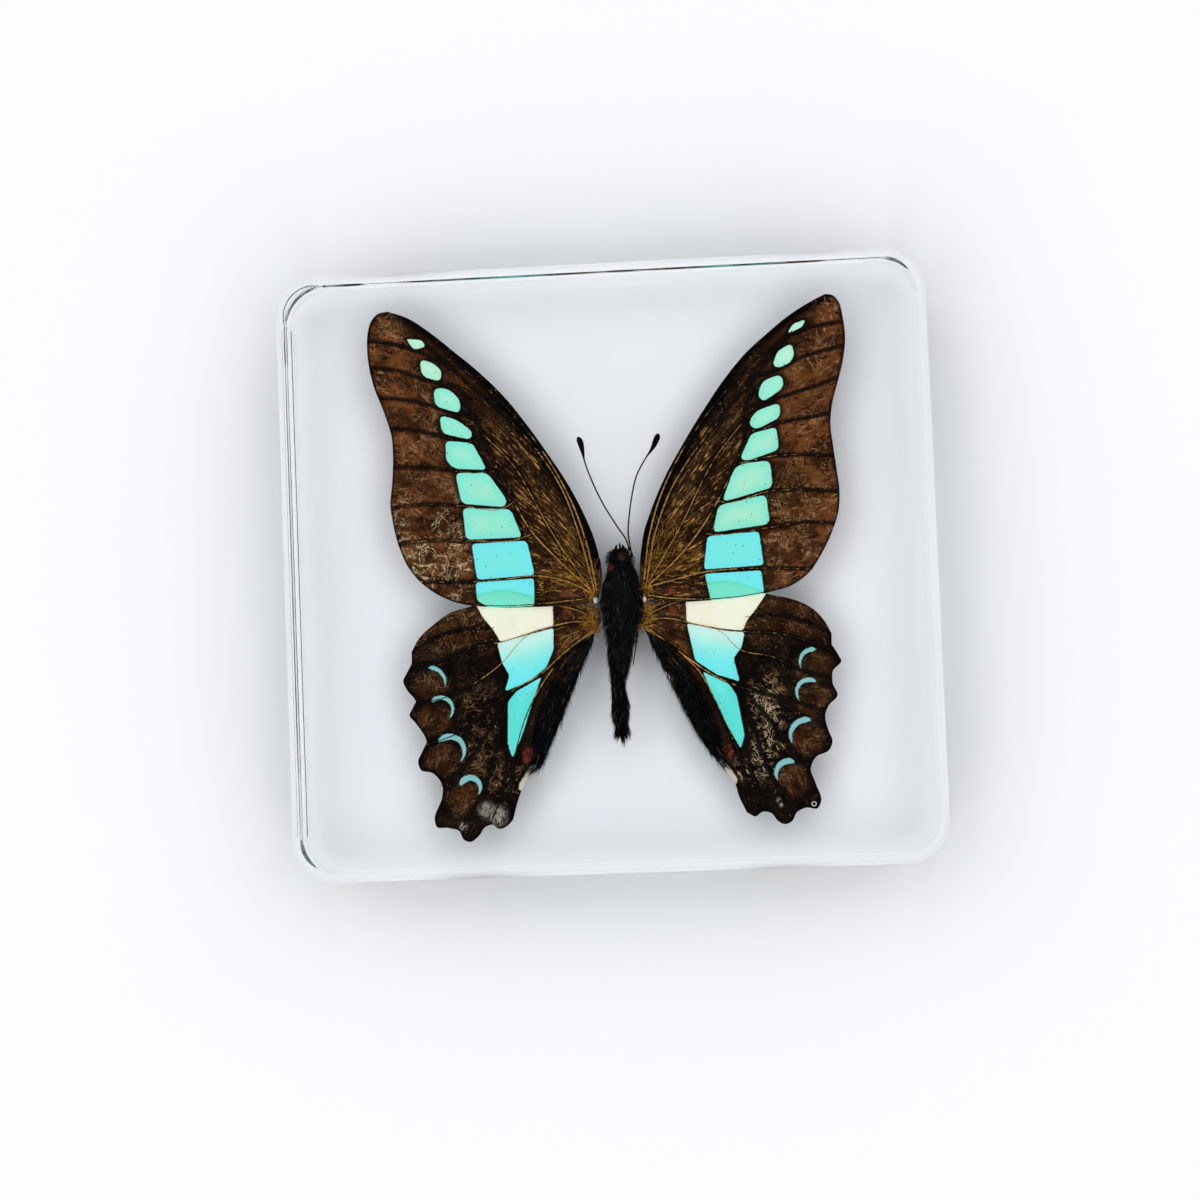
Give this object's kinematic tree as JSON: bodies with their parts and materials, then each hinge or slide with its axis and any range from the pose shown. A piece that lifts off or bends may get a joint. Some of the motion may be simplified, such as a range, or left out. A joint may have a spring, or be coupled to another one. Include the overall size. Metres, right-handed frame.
{
  "type": "insect in resin block",
  "caption": "Clear rounded rectangular resin slab, a paperweight and specimen mount, with a spread blue-banded butterfly sealed flat inside it.",
  "frame": {"origin": "middle of the flat back face, on which the slab lies", "axes": "+X along the slab's long side, to the right as the butterfly is looked at with its head up; +Y towards the end that the head points to; +Z out of the front face, through which the upper side of the wings is seen"},
  "size_m": [0.075, 0.07, 0.01],
  "materials": {
    "clear_resin": "clear cast resin, polished on every face and along the rounded rims",
    "wing_scales": "matt brown-black butterfly scales with golden veins, see-through pale turquoise windows and cream patches",
    "body_hair": "fine near-black hair with a faint blue-grey sheen",
    "gold_hair": "soft golden yellow hair tufts",
    "chitin": "hard dark insect shell, satin gloss",
    "compound_eye": "red-brown faceted insect eye, satin gloss",
    "trapped_air": "small trapped air bubble or speck in the resin"
  },
  "bodies": {
    "root": {"resin_block": "clear_resin"}
  },
  "joints": []
}
